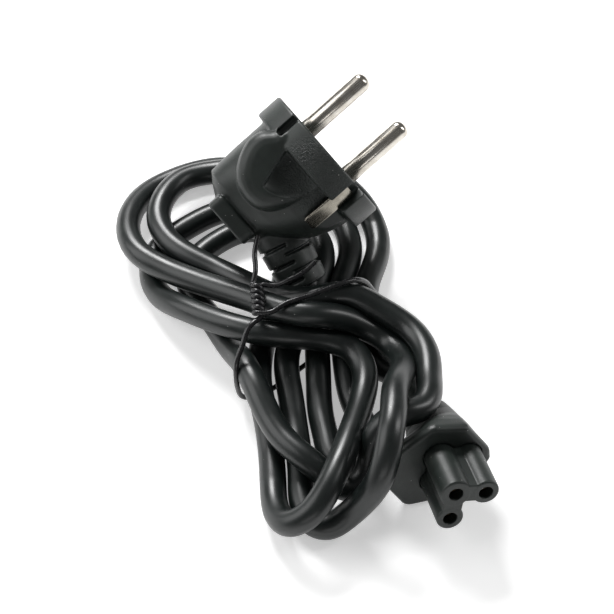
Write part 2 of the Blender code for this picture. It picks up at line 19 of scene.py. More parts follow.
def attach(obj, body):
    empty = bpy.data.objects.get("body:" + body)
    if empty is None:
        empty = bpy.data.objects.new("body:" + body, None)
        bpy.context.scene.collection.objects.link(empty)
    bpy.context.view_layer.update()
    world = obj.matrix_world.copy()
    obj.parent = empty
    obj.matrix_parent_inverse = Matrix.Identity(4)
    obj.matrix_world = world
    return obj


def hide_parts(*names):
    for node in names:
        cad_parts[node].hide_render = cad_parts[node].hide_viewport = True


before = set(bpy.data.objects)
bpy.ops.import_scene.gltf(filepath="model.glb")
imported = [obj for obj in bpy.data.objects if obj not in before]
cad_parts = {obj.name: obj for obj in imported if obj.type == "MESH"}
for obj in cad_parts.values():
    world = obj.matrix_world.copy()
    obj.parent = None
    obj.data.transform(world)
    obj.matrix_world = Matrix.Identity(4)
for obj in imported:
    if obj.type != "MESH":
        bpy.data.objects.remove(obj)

LOG = logging.getLogger("power_cord")
MM = 0.001
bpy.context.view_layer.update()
# Where the photographed object's own origin stands in the shared frame
FRAME_SHIFT = Vector((2.955, 5.965, 0.0)) * MM
# Values between which most noise lies
NOISE_SPAN = (0.3, 0.7)
# Length over which a tube's diameter wanders
WANDER = 7 * MM
# Two lines are parallel below this, and a crossing may lie this far past an edge's end
PARALLEL = 1e-9
SLACK = 1e-6

Pair = tuple[float, float]
Triple = tuple[float, float, float]
Noise = tuple[float, ...]
Pairs = tuple[Pair, ...]
Socket = bpy.types.NodeSocket
Material = bpy.types.Material
Piece = bpy.types.Object
Values = dict[str | int, object]

# The cable's centreline between its straight ends, lifted where the tie wire passes under it
ROUTE = (
    (4.86, 7.17, 10.48), (4.05, 2.66, 10.86), (1.06, -1.34, 9.42), (-1.54, -5.44, 6.21), (-2.04, -10.54, 5),
    (-1.25, -17.04, 4.49), (-0.15, -25.04, 3.46), (0.85, -33.03, 3.13), (1.56, -41.03, 3.1),
    (1.96, -48.03, 3.1), (4.15, -52.94, 3.2), (7.75, -54.44, 3.9), (11.76, -53.23, 6),
    (15.55, -52.03, 10.6), (18.86, -50.64, 17), (20.65, -47.44, 21.6), (21.66, -42.44, 24.3),
    (22.45, -36.73, 24.5), (23.05, -30.03, 22.9), (25.16, -21.43, 17.6), (25.56, -13.03, 12.41),
    (22.16, -6.63, 11.01), (16.16, -3.84, 13.19), (9.45, -4.23, 17.5), (2.96, -4.84, 19.08),
    (-4.04, -2.04, 17.69), (-11.04, 2.96, 15.07), (-18.05, 7.56, 12.8), (-25.55, 12.16, 11),
    (-33.05, 16.87, 9.8), (-39.55, 21.96, 9.4), (-43.35, 30.46, 8), (-42.85, 40.47, 6),
    (-38.05, 49.47, 3.8), (-30.05, 54.96, 3.1), (-21.05, 57.47, 3.1), (-11.04, 55.97, 3.1),
    (-1.04, 51.47, 3.1), (7.96, 44.47, 3.1), (12.95, 35.97, 3.1), (14.05, 25.96, 3.18),
    (11.76, 16.47, 3.58), (11.26, 7.96, 4.54), (11.86, -2.04, 4.8), (12.65, -11.03, 3.64),
    (14.35, -20.04, 3.14), (16.95, -27.04, 3.1), (17.76, -32.23, 3.1), (16.16, -36.44, 3.1),
    (12.65, -38.14, 3.1), (9.25, -36.33, 3.1), (7.86, -32.03, 3.1), (6.26, -23.03, 3.24),
    (5.75, -13.03, 4.16), (5.36, -2.04, 4.95), (4.86, 6.47, 3.96), (4.96, 14.96, 3.26), (6.86, 22.96, 3.13),
    (5.96, 31.97, 3.1), (0.35, 38.97, 3.1), (-8.05, 42.97, 3.1), (-19.05, 42.17, 3.1), (-29.05, 35.97, 3.1),
    (-35.25, 29.46, 3.1), (-37.25, 21.96, 3.1), (-34.85, 13.56, 4), (-28.84, 6.17, 8), (-21.84, 0.76, 10.6),
    (-14.05, -3.84, 12.61), (-6.54, -6.44, 13.36), (0.96, -7.13, 13.19), (7.96, -6.84, 11.38),
    (13.76, -9.03, 10.44), (16.76, -15.03, 9.89), (16.16, -23.03, 10.21), (13.55, -33.83, 12.9),
    (10.35, -44.44, 14.8), (7.15, -51.64, 14), (3.35, -55.83, 11.4), (-1.04, -56.03, 8),
    (-4.04, -51.03, 4.8), (-4.95, -43.03, 3.21), (-5.54, -34.03, 3.24), (-6.85, -25.04, 4.13),
    (-8.55, -16.04, 4.99), (-8.64, -7.04, 4.08), (-7.05, 1.96, 3.35), (-4.25, 10.47, 3.15),
    (-2.84, 18.96, 3.1), (-2.64, 26.96, 3.1), (-6.45, 33.77, 3.1), (-13.04, 35.26, 3.1),
    (-19.55, 31.97, 3.1), (-25.05, 26.46, 3.1), (-27.65, 19.77, 3.1), (-25.84, 13.16, 3.1),
    (-22.05, 7.17, 3.1), (-18.44, 0.96, 3.21), (-15.44, -5.53, 5.43), (-12.44, -12.54, 9.83),
    (-9.35, -20.54, 11.3), (-6.05, -28.24, 10.06), (-1.95, -35.03, 9.64), (3.26, -40.23, 9.4),
    (8.56, -43.73, 6.7), (12.76, -44.83, 4.9), (16.16, -42.83, 6.4), (18.05, -38.14, 12.4),
    (20.95, -35.24, 17.4), (25.26, -33.64, 19.1), (29.06, -31.64, 18.4), (31.16, -27.63, 17.6),
    (31.66, -22.03, 16.2), (31.45, -14.04, 15.4), (27.76, -6.23, 15.06), (20.45, -1.04, 16.44),
    (12.46, 1.96, 18.09), (4.45, 1.37, 17.27), (-4.84, 4.56, 14.22), (-12.05, 10.86, 11.1),
    (-18.55, 15.97, 9.5), (-26.05, 20.56, 9.5), (-32.25, 26.07, 9.5), (-35.55, 33.47, 9.5),
    (-34.25, 42.47, 9.1), (-29.05, 49.47, 8.2), (-20.55, 51.97, 8), (-11.04, 52.26, 9.3),
    (-1.04, 51.76, 9.7), (8.95, 49.17, 8.8), (16.76, 43.97, 5.6), (21.06, 35.47, 3.13),
    (21.06, 25.96, 3.51), (18.45, 16.47, 4.31), (18.05, 6.96, 4.99), (18.95, -2.04, 3.99),
    (21.56, -9.54, 3.31),
)

# The tie wire's run round the strands, from the twist's foot and back to it
TIE_LOOP = (
    (-10.24, -8.64, 20), (-12.24, -12.43, 17.6), (-13.75, -15.8, 14.6), (-14, -17.7, 11), (-13.7, -17.8, 6),
    (-12.25, -17.1, 1.8), (-8.45, -15.64, 0.9), (-1.04, -9.94, 0.8), (6.96, -2.53, 0.8),
    (14.95, 4.96, 0.85), (20.76, 9.37, 1.4), (23.16, 9.56, 4.8), (21.56, 8.16, 9), (19.16, 6.96, 13.5),
    (17.45, 5.76, 18), (14.35, 3.36, 21.9), (8.46, 0.56, 22.5), (2.46, -2.23, 22.5), (-3.04, -4.63, 22.2),
    (-6.64, -6.34, 21.5),
)
TIE_TWIST = (
    (-8.64, -5.94, 21.1), (-9.24, 2.57, 20.7),
)
TIE_END_UPPER = (
    (-9.64, 6.17, 21.5), (-9.85, 10.56, 23.2), (-9.04, 14.37, 25.6),
)
TIE_END_SIDE = (
    (-6.45, 2.57, 21), (-1.64, 2.76, 22.6), (2.35, 4.76, 23.6), (4.96, 6.56, 25.2),
)


class Join(Enum):
    """What one solid does to another."""

    ADD = "UNION"
    CUT = "DIFFERENCE"


class Side(Enum):
    """The broad sides of the plug, and the two halves of its collar."""

    FRONT = -1
    BACK = 1


Parts = list[tuple[Piece, Join]]


def in_metres(points: Iterable[Triple]) -> list[Vector]:
    """Points of a table, in metres."""
    return [Vector(point) * MM for point in points]


# ---- materials


class NodeSheet:
    """A material's node tree, with short calls that add and join nodes."""

    def __init__(self, name: str) -> None:
        """Starts a material with its shader.

        Args:
            name: the material's name.
        """
        self.material = bpy.data.materials.new(name)
        self.material.use_nodes = True
        self.tree = self.material.node_tree
        self.shader = self.tree.nodes["Principled BSDF"]
        self.coordinates = self.add("TexCoord", "Object", {})

    def fill(self, node: bpy.types.Node, values: Values) -> None:
        """Sets or joins a node's inputs.

        Args:
            node: the node.
            values: for each input a constant, or the output that feeds it.
        """
        for key, value in values.items():
            if isinstance(value, Socket):
                self.tree.links.new(value, node.inputs[key])
            else:
                node.inputs[key].default_value = value

    def add(self, kind: str, result: str, values: Values, **modes: str) -> Socket:
        """Adds a node.

        Args:
            kind: its type.
            result: the output that is wanted.
            values: for each input a constant, or the output that feeds it.
            modes: its settings.

        Returns:
            That output.
        """
        node = self.tree.nodes.new("ShaderNode" + kind)
        for name, mode in modes.items():
            setattr(node, name, mode)
        self.fill(node, values)
        return node.outputs[result]

    def mapped(self, turn: Triple, stretch: Triple) -> Socket:
        """Object coordinates, turned and stretched."""
        values = {"Rotation": turn, "Scale": stretch, "Vector": self.coordinates}
        return self.add("Mapping", "Vector", values, vector_type="TEXTURE")

    def speckle(self, size: float, detail: float = 2.0, rough: float = 0.5,
                vector: Socket | None = None) -> Socket:
        """Noise with features of about this size in metres, from the object's coordinates or a given vector."""
        values = {"Scale": 1.0 / size, "Detail": detail, "Roughness": rough,
                  "Vector": vector or self.coordinates}
        return self.add("TexNoise", "Fac", values)

    def pits(self, size: float) -> Socket:
        """Distance to the nearest of points scattered about this far apart, as a share of their spacing."""
        return self.add("TexVoronoi", "Distance", {"Scale": 1.0 / size, "Vector": self.coordinates})

    def nearness(self, centre: Vector, reach: float, core: float = 0.65) -> Socket:
        """1 near a point, within a core share of the reach, and 0 from the reach on."""
        distance = self.add("VectorMath", "Value", {0: self.coordinates, 1: centre}, operation="DISTANCE")
        return self.ramp(distance, reach * core, reach, 1.0, 0.0)

    def product(self, first: Socket, second: Socket) -> Socket:
        """Multiplies two values."""
        return self.add("Math", "Value", {0: first, 1: second}, operation="MULTIPLY")

    def ramp(self, value: Socket, low: float, high: float, start: float = 0.0, end: float = 1.0) -> Socket:
        """Maps the range from low to high onto the one from start to end, clamped."""
        values = {"Value": value, "From Min": low, "From Max": high, "To Min": start, "To Max": end}
        return self.add("MapRange", "Result", values)

    def blend(self, share: Socket, first: Triple | Socket, second: Triple) -> Socket:
        """Mixes a share of the second colour into the first, which may be an earlier mix."""
        lower = (*first, 1.0) if isinstance(first, tuple) else first
        return self.add("Mix", "Result", {"Factor": share, "A": lower, "B": (*second, 1.0)}, data_type="RGBA")

    def relief(self, height: Socket, depth: float, strength: float = 1.0,
               below: Socket | None = None) -> Socket:
        """Bumps the surface by a height pattern this deep in metres, over the bump below it."""
        under = {} if below is None else {"Normal": below}
        return self.add("Bump", "Normal", {"Distance": depth, "Strength": strength, "Height": height, **under})


@dataclass(frozen=True)
class Finish:
    """A cloudy colour with bumps from a grain, which may have a swell under it and coarse patches over it.

    A noise is given by its size, detail and roughness, and an edge by the values between which it fades.
    """

    name: str
    dark: Triple
    light: Triple
    roughness: Pair
    specular: float = 0.5
    metallic: float = 0.0
    glow: float = 0.0
    hazy: bool = False
    cloud: Noise = (5 * MM, 3.0)
    cloud_edge: Pair = (0.35, 0.7)
    grain: Noise = (0.22 * MM, 3.0, 0.6)
    grain_depth: float = 0.022 * MM
    grain_share: float = 1.0
    grain_turn: Triple = (0.0, 0.0, 0.0)
    grain_stretch: Triple = (1.0, 1.0, 1.0)
    swell: Noise = (3 * MM, 1.0)
    swell_depth: float = 0.0
    swell_share: float = 0.6
    dust: Triple = (0.42, 0.42, 0.40)
    dust_spacing: float = 1.9 * MM
    dust_edge: Pair = (0.045, 0.062)
    dust_share: float = 0.0
    coarse: Noise = (0.42 * MM, 2.0, 0.6)
    coarse_edge: Pair = (0.40, 0.62)
    coarse_depth: float = 0.10 * MM
    patches: tuple[Triple, ...] = ()
    patch_reach: float = 11 * MM

    def material(self) -> Material:
        """Builds the material.

        Returns:
            The material.
        """
        sheet, normal = NodeSheet(self.name), None
        cloud = sheet.speckle(*self.cloud)
        grain = sheet.speckle(*self.grain, vector=sheet.mapped(self.grain_turn, self.grain_stretch))
        colour = sheet.blend(sheet.ramp(cloud, *self.cloud_edge), self.dark, self.light)
        if self.dust_share:
            specks = sheet.ramp(sheet.pits(self.dust_spacing), *self.dust_edge, self.dust_share, 0.0)
            colour = sheet.blend(specks, colour, self.dust)
        if self.swell_depth:
            normal = sheet.relief(sheet.speckle(*self.swell), self.swell_depth, self.swell_share)
        normal = sheet.relief(grain, self.grain_depth, self.grain_share, normal)
        for centre in self.patches:
            coarse = sheet.ramp(sheet.speckle(*self.coarse), *self.coarse_edge)
            height = sheet.product(coarse, sheet.nearness(Vector(centre), self.patch_reach))
            normal = sheet.relief(height, self.coarse_depth, 1.0, normal)
        sheet.fill(sheet.shader, {
            "Base Color": colour, "Normal": normal,
            "Metallic": self.metallic, "Specular IOR Level": self.specular,
            "Roughness": sheet.ramp(cloud if self.hazy else grain, *NOISE_SPAN, *self.roughness),
            "Emission Color": (1, 1, 1, 1), "Emission Strength": self.glow})
        return sheet.material


@dataclass(frozen=True)
class MouldedPvc(Finish):
    """Black PVC from a spark-eroded mould: fine grain, faint cloudiness and a few light dust specks."""

    name: str = "moulded_pvc"
    dark: Triple = (0.0062, 0.0096, 0.0080)
    light: Triple = (0.0125, 0.0180, 0.0152)
    roughness: Pair = (0.38, 0.54)
    swell_depth: float = 0.05 * MM
    dust_share: float = 0.8


@dataclass(frozen=True)
class CableSheath(Finish):
    """Satin black PVC sheath, drawn smooth, with a faint waviness and a little handling haze."""

    name: str = "cable_sheath"
    dark: Triple = (0.0046, 0.0068, 0.0064)
    light: Triple = (0.0086, 0.0122, 0.0114)
    roughness: Pair = (0.31, 0.38)
    specular: float = 0.55
    hazy: bool = True
    cloud: Noise = (6 * MM, 4.0, 0.6)
    grain: Noise = (0.35 * MM, 2.0)
    grain_depth: float = 0.0012 * MM
    swell: Noise = (4.5 * MM, 1.0)
    swell_depth: float = 0.016 * MM
    dust: Triple = (0.35, 0.35, 0.34)
    dust_spacing: float = 3.1 * MM
    dust_edge: Pair = (0.028, 0.040)
    dust_share: float = 0.7


@dataclass(frozen=True)
class PlatedMetal(Finish):
    """Bright plated metal with fine drawing lines along one axis and faint handling marks."""

    metallic: float = 1.0
    cloud: Noise = (2.5 * MM, 3.0)
    cloud_edge: Pair = (0.4, 0.75)
    grain: Noise = (0.12 * MM, 2.0, 0.6)
    grain_depth: float = 0.0008 * MM
    grain_share: float = 0.5
    grain_stretch: Triple = (1.0, 1.0, 40.0)


@dataclass(frozen=True)
class WireCoat(Finish):
    """Glossy black coating of the tie wire, slightly uneven from its drawing."""

    name: str = "wire_coat"
    dark: Triple = (0.006, 0.006, 0.007)
    light: Triple = (0.014, 0.014, 0.015)
    roughness: Pair = (0.20, 0.34)
    hazy: bool = True
    cloud: Noise = (1.5 * MM, 3.0)
    cloud_edge: Pair = (0.0, 1.0)
    grain: Noise = (2.2 * MM, 1.0)
    grain_depth: float = 0.005 * MM
    grain_share: float = 0.5


@dataclass(frozen=True)
class PaleGround(Finish):
    """The plain pale floor, which glows slightly."""

    name: str = "pale_ground"
    dark: Triple = (0.93, 0.93, 0.93)
    light: Triple = (0.96, 0.96, 0.96)
    roughness: Pair = (0.85, 0.95)
    glow: float = 0.40
    hazy: bool = True
    cloud: Noise = (60 * MM, 2.0)
    cloud_edge: Pair = (0.0, 1.0)
    grain: Noise = (1 * MM, 2.0)
    grain_depth: float = 0.01 * MM
    grain_share: float = 0.2


# ---- shaping


def superellipse(co: Vector, half_x: float, half_y: float, power: float) -> Vector:
    """Moves a point of the unit circle onto a superellipse.

    Args:
        co: point of the unit circle.
        half_x: half width.
        half_y: half height.
        power: 2 is an ellipse, and more is squarer.

    Returns:
        The moved point, at Z 0.
    """
    x = half_x * abs(co.x) ** (2 / power) * (1 if co.x >= 0 else -1)
    y = half_y * abs(co.y) ** (2 / power) * (1 if co.y >= 0 else -1)
    return Vector((x, y, 0))


def rounded_outline(points: Pairs, pieces: int) -> list[Vector]:
    """A closed smooth outline through points.

    Args:
        points: the points in order.
        pieces: steps between neighbours.

    Returns:
        The outline's points in X and Y.
    """
    rows, count, out = [Vector(point) for point in points], len(points), []
    for k in range(count):
        a, b, c, d = (rows[(k + j) % count] for j in (-1, 0, 1, 2))
        for u in (step / pieces for step in range(pieces)):
            out.append(b + (c - a) * (u / 2) + (2 * a - 5 * b + 4 * c - d) * (u * u / 2)
                       + (3 * b - a - 3 * c + d) * (u ** 3 / 2))
    return out


def outline_point(points: Pairs, centre: Vector, angle: float) -> Vector:
    """Where a ray from the centre leaves a closed outline.

    Args:
        points: the outline's corners in order.
        centre: where the ray starts.
        angle: the ray's angle from X.

    Returns:
        The point in X and Y.
    """
    way, rows = Vector((cos(angle), sin(angle))), [Vector(point) for point in points]
    for a, b in zip(rows, rows[1:] + rows[:1]):
        side = b - a
        cross = way.x * side.y - way.y * side.x
        if abs(cross) < PARALLEL:
            continue
        out = ((a - centre).x * side.y - (a - centre).y * side.x) / cross
        share = ((a - centre).x * way.y - (a - centre).y * way.x) / cross
        if out > 0 and -SLACK <= share <= 1 + SLACK:
            return centre + way * out
    return centre


class Former:
    """Builds one closed solid with mesh operators and hands it over as an object."""

    def __init__(self) -> None:
        """Starts empty."""
        self.bm = bmesh.new()
        self.last: list[bmesh.types.BMEdge] = []

    def circle(self, count: int) -> list[bmesh.types.BMVert]:
        """Adds an open unit circle."""
        return bmesh.ops.create_circle(self.bm, cap_ends=False, segments=count, radius=1.0)["verts"]

    def bridge(self, made: list[bmesh.types.BMVert]) -> None:
        """Bridges a new ring to the one before, or fills it if it is the first.

        Args:
            made: the new ring's points.
        """
        edges = list({edge for vert in made for edge in vert.link_edges})
        if self.last:
            bmesh.ops.bridge_loops(self.bm, edges=self.last + edges)
        else:
            bmesh.ops.edgeloop_fill(self.bm, edges=edges)
        self.last = edges

    def ring(self, centre: Vector, half_x: float, half_y: float, power: float = 2.0, count: int = 64) -> None:
        """Adds a ring and bridges it to the one before.

        Args:
            centre: middle of the ring.
            half_x: half width.
            half_y: half height.
            power: squareness.
            count: points in the ring.
        """
        made = self.circle(count)
        for vert in made:
            vert.co = centre + superellipse(vert.co, half_x, half_y, power)
        self.bridge(made)

    def ring_through(self, points: list[Vector]) -> None:
        """Adds a ring through given points and bridges it to the one before.

        Args:
            points: the points in order.
        """
        made = self.circle(len(points))
        for vert, point in zip(made, points):
            vert.co = point
        self.bridge(made)

    def seal(self, edges: list[bmesh.types.BMEdge]) -> "Former":
        """Fills an open rim and turns the faces outwards.

        Args:
            edges: the rim.

        Returns:
            The former itself.
        """
        bmesh.ops.edgeloop_fill(self.bm, edges=edges)
        bmesh.ops.recalc_face_normals(self.bm, faces=self.bm.faces)
        return self

    def close(self) -> "Former":
        """Seals the last ring."""
        return self.seal(self.last)

    def block(self, size: Vector) -> "Former":
        """Makes a block about the origin, with these full lengths."""
        bmesh.ops.create_cube(self.bm, size=1.0, matrix=Matrix.Diagonal((*size, 1)))
        return self

    def ball(self, half: Vector) -> "Former":
        """Makes an ellipsoid about the origin, with these half lengths."""
        bmesh.ops.create_uvsphere(self.bm, u_segments=48, v_segments=28, radius=1.0,
                                  matrix=Matrix.Diagonal((*half, 1)))
        return self

    def trim(self, point: Vector, away: Vector) -> "Former":
        """Cuts off what lies beyond a plane and closes the cut.

        Args:
            point: a point of the plane.
            away: direction of the part that goes.

        Returns:
            The former itself.
        """
        geometry = [*self.bm.verts, *self.bm.edges, *self.bm.faces]
        cut = bmesh.ops.bisect_plane(self.bm, geom=geometry, plane_co=point, plane_no=away, clear_outer=True)
        return self.seal([item for item in cut["geom_cut"] if isinstance(item, bmesh.types.BMEdge)])

    def place(self, place: Vector, turn: Euler | None = None) -> "Former":
        """Turns the solid about the origin, then moves it."""
        bmesh.ops.transform(self.bm, matrix=Matrix.LocRotScale(place, turn, None), verts=self.bm.verts)
        return self

    def solid(self, name: str) -> Piece:
        """Hands the solid over as a linked object.

        Args:
            name: the object's name.

        Returns:
            The object.
        """
        mesh = bpy.data.meshes.new(name)
        self.bm.to_mesh(mesh)
        self.bm.free()
        return link(name, mesh)


def lathed(profile: Iterable[Pair], count: int = 64) -> Former:
    """A solid of revolution about Z.

    Args:
        profile: height and radius of each ring, in order.
        count: points in a ring.

    Returns:
        The closed former.
    """
    former = Former()
    for height, radius in profile:
        former.ring(Vector((0, 0, height)), radius, radius, count=count)
    return former.close()


def link(name: str, data: bpy.types.ID) -> Piece:
    """Links a new object to the scene.

    Args:
        name: the object's name.
        data: its mesh, curve, light or camera.

    Returns:
        The object.
    """
    obj = bpy.data.objects.new(name, data)
    bpy.context.scene.collection.objects.link(obj)
    return obj


def settle(obj: Piece) -> None:
    """Applies every modifier of an object.

    Args:
        obj: the object, which takes the finished mesh.
    """
    finished = bpy.data.meshes.new_from_object(obj.evaluated_get(bpy.context.evaluated_depsgraph_get()))
    obj.modifiers.clear()
    obj.data = finished


def combined(base: Piece, parts: Parts) -> Piece:
    """Joins solids to a base, or cuts them from it, in order.

    Args:
        base: the solid that stays.
        parts: the other solids, each with what it does. They are removed.

    Returns:
        The base with its finished mesh.
    """
    for part, action in parts:
        modifier = base.modifiers.new(part.name, "BOOLEAN")
        modifier.operation = action.value
        modifier.solver = "EXACT"
        modifier.object = part
    settle(base)
    for part, _ in parts:
        bpy.data.objects.remove(part, do_unlink=True)
    return base


def moulded(obj: Piece, cell: float, passes: int = 3, factor: float = 0.5) -> Piece:
    """Rounds every edge and corner a little, as a mould does.

    Args:
        obj: a closed solid.
        cell: size of the finished faces.
        passes: how often the surface is relaxed.
        factor: how far each pass goes.

    Returns:
        The same object.
    """
    remesh = obj.modifiers.new("skin", "REMESH")
    remesh.mode = "VOXEL"
    remesh.voxel_size = cell
    smooth = obj.modifiers.new("relax", "SMOOTH")
    smooth.factor = factor
    smooth.iterations = passes
    settle(obj)
    obj.data.shade_smooth()
    return obj


def smoothed(obj: Piece, crease: float) -> Piece:
    """Smooths the faces and keeps sharp edges.

    Args:
        obj: a solid.
        crease: angle in degrees from which an edge stays sharp.

    Returns:
        The same object.
    """
    obj.data.shade_smooth()
    obj.data.set_sharp_from_angle(angle=radians(crease))
    return obj


def dressed(obj: Piece, material: Material, node: str, matrix: Matrix | None = None) -> Piece:
    """Gives a piece its finish, hides the CAD node that it stands for, and puts it in its place.

    Args:
        obj: the piece.
        material: its finish.
        node: the CAD node that it stands for.
        matrix: its frame's matrix, where it was modelled in a local frame.

    Returns:
        The piece.
    """
    if matrix is not None:
        obj.data.transform(matrix)
    obj.data.materials.clear()
    obj.data.materials.append(material)
    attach(obj, "root")
    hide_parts(node)
    LOG.info("%s stands for %s", obj.name, node)
    return obj


def frame_matrix(place: Vector, turn: Triple) -> Matrix:
    """A sub-assembly's frame, from its origin before the whole object's shift and its turn in degrees."""
    return Matrix.LocRotScale(place + FRAME_SHIFT, Euler([radians(angle) for angle in turn]), None)


def smooth_curve(points: list[Vector], start: Vector, end: Vector, step: float) -> list[Vector]:
    """Closely spaced points on the smooth curve through a route.

    Args:
        points: the route.
        start: unit tangent at its start.
        end: unit tangent at its end.
        step: spacing of the result.

    Returns:
        The points.
    """
    rows, count, out = np.array([tuple(point) for point in points], dtype=float), len(points), []
    steps = np.linalg.norm(np.diff(rows, axis=0), axis=1)
    system, right = np.zeros((count, count)), np.zeros((count, 3))
    system[0, 0] = system[-1, -1] = 1
    right[0], right[-1] = start, end
    for k in range(1, count - 1):
        before, after = steps[k - 1], steps[k]
        system[k, k - 1:k + 2] = after, 2 * (before + after), before
        right[k] = 3 * (after * (rows[k] - rows[k - 1]) / before + before * (rows[k + 1] - rows[k]) / after)
    tangents = np.linalg.solve(system, right)
    for k, length in enumerate(steps):
        pieces = max(2, round(length / step))
        for u in np.arange(pieces) / pieces:
            a, b = u * u * (3 - 2 * u), u * (1 - u)
            out.append(Vector((1 - a) * rows[k] + a * rows[k + 1]
                              + length * b * ((1 - u) * tangents[k] - u * tangents[k + 1])))
    return [*out, Vector(rows[-1])]


def tube_curve(name: str, points: list[Vector], diameter: float, resolution: int, unevenness: float) -> Piece:
    """A round tube along points, as a curve of one open spline.

    Args:
        name: the object's name.
        points: its centreline.
        diameter: its outer diameter.
        resolution: the bevel's resolution.
        unevenness: how much the diameter wanders, as a share.

    Returns:
        The object.
    """
    curve = bpy.data.curves.new(name, "CURVE")
    curve.dimensions = "3D"
    curve.bevel_depth = diameter / 2
    curve.bevel_resolution = resolution
    curve.use_fill_caps = True
    spline = curve.splines.new("POLY")
    spline.points.add(len(points) - 1)
    for item, point in zip(spline.points, points):
        item.co = (*point, 1.0)
        item.radius = 1 + unevenness * noise.noise(point / WANDER)
    spline.use_smooth = True
    return link(name, curve)


# ---- plug


@dataclass
class Plug:
    """The angled plug. Its frame has Z along the pins, X towards the cable and its origin on the face."""

    place: Vector = field(default_factory=lambda: Vector((5.3, 28.7, 33.6)) * MM)
    turn: Triple = (-57.6, 30.7, -39.9)
    gap: float = 0.3 * MM
    past: float = 2 * MM
    cell: float = 0.28 * MM
    coarse_grain: tuple[Triple, ...] = ((2.5, -18.0, -6.0), (2.5, 18.0, -6.0))
    pin_diameter: float = 4.8 * MM
    pin_length: float = 19 * MM
    pin_spacing: float = 19 * MM
    pin_angle: float = radians(38)
    pin_chamfer: float = 0.1 * MM
    pin_dome: float = 0.82
    pin_tip: float = 0.06
    pin_steps: int = 12
    socket_depth: float = 3 * MM
    collar_diameter: float = 37 * MM
    collar_height: float = 7.1 * MM
    # depth below the face, and how far inside the full radius
    collar_profile: Pairs = ((0, 0.55), (0.16, 0.2), (0.55, 0), (6.6, 0), (6.96, 0.16), (7.1, 0.5))
    clip_flat: float = 15.2 * MM
    clip_flat_length: float = 18.5 * MM
    clip_width: float = 4.2 * MM
    clip_thickness: float = 0.8 * MM
    clip_crown: float = 0.3 * MM
    clip_tip: float = 0.35 * MM
    clip_tip_share: float = 0.4
    clip_inset: float = 2.0 * MM
    clip_length: float = 15 * MM
    clip_squareness: float = 7.0
    clip_steps: int = 24
    slot_offset: float = 11.2 * MM
    slot_width: float = 1.7 * MM
    slot_depth: float = 2.2 * MM
    slot_length: float = 6.1 * MM
    line_width: float = 0.35 * MM
    line_depth: float = 0.5 * MM
    line_offset: float = 0.9 * MM
    relief_start: Vector = field(default_factory=lambda: Vector((6.0, 0.0, -22.4)) * MM)
    relief_tilt: float = radians(13.8)
    relief_length: float = 15.5 * MM
    relief_diameters: Pair = (13.2 * MM, 12.2 * MM)
    relief_soft: float = 0.6 * MM
    relief_slots: int = 5
    relief_pitch: float = 2.35 * MM
    relief_first: float = 4.0 * MM
    relief_slot_width: float = 0.8 * MM
    relief_slot_depth: float = 1.0 * MM
    relief_slot_overlap: float = 0.9 * MM
    relief_slot_past: float = 0.4 * MM
    # depth below the face, middle, half width, half thickness, squareness
    sections: tuple[tuple[float, ...], ...] = (
        (4.0, 0.0, 16.2, 15.0, 2.7), (5.5, 0.0, 16.2, 15.0, 2.7), (9.0, -0.2, 16.0, 14.9, 2.7),
        (12.4, -0.6, 15.6, 14.6, 2.7), (16.0, -1.3, 14.9, 13.9, 2.7), (19.0, -2.2, 13.9, 12.8, 2.7),
        (22.0, -3.3, 12.7, 11.6, 2.7), (24.7, -4.6, 11.2, 10.2, 2.7), (26.6, -4.0, 9.3, 9.2, 2.8),
        (28.0, -3.4, 7.4, 8.2, 3.0))
    # depth below the face, and how far inside the full size
    plate_profile: Pairs = ((30.5, 0.6), (30.35, 0.2), (30.0, 0), (26.9, 0), (26.5, 0.15), (26.3, 0.5))
    plate_half: Pair = (6.7, 10.4)
    plate_middle: float = -3.3
    plate_squareness: float = 9.0
    grip_outline: Pairs = (
        (-10.2, -3.0), (5.8, -3.0), (5.7, -7.0), (5.0, -10.4), (4.0, -14.1), (2.9, -17.2), (1.2, -20.0),
        (-1.2, -21.8), (-4.2, -22.4), (-7.4, -22.0), (-10.0, -20.8), (-12.2, -18.6), (-14.0, -15.6),
        (-15.0, -12.4), (-14.6, -9.2), (-12.8, -6.6))
    grip_middle: Pair = (-4.6, -11.0)
    # distance from the middle plane, and share of the outline
    grip_levels: Pairs = (
        (8.0, 1.0), (12.4, 1.0), (13.6, 0.985), (14.7, 0.945), (15.5, 0.88), (16.05, 0.79), (16.4, 0.66),
        (16.55, 0.45))
    hollow_half: Triple = (11.2, 3.1, 9.6)
    hollow_middle: Triple = (-6.4, 17.2, -8.0)
    hollow_turn: float = radians(5)
    hollow_top: float = -7.15
    ridge_point: Triple = (-4.4, 0, -16.7)
    ridge_away: Triple = (-0.963, 0, -0.270)

    @property
    def matrix(self) -> Matrix:
        """The plug's frame."""
        return frame_matrix(self.place, self.turn)

    @property
    def relief_axis(self) -> Vector:
        """Direction in which the strain relief leaves."""
        return Vector((cos(self.relief_tilt), 0, -sin(self.relief_tilt)))

    def around(self, angle: float) -> Vector:
        """Unit direction in the face, by its angle from the cable's side."""
        return Vector((cos(angle), sin(angle), 0))

    def collar(self) -> Piece:
        """The round collar with its softened rims."""
        rings = ((-depth * MM, self.collar_diameter / 2 - inset * MM) for depth, inset in self.collar_profile)
        return lathed(rings, count=128).solid("collar")

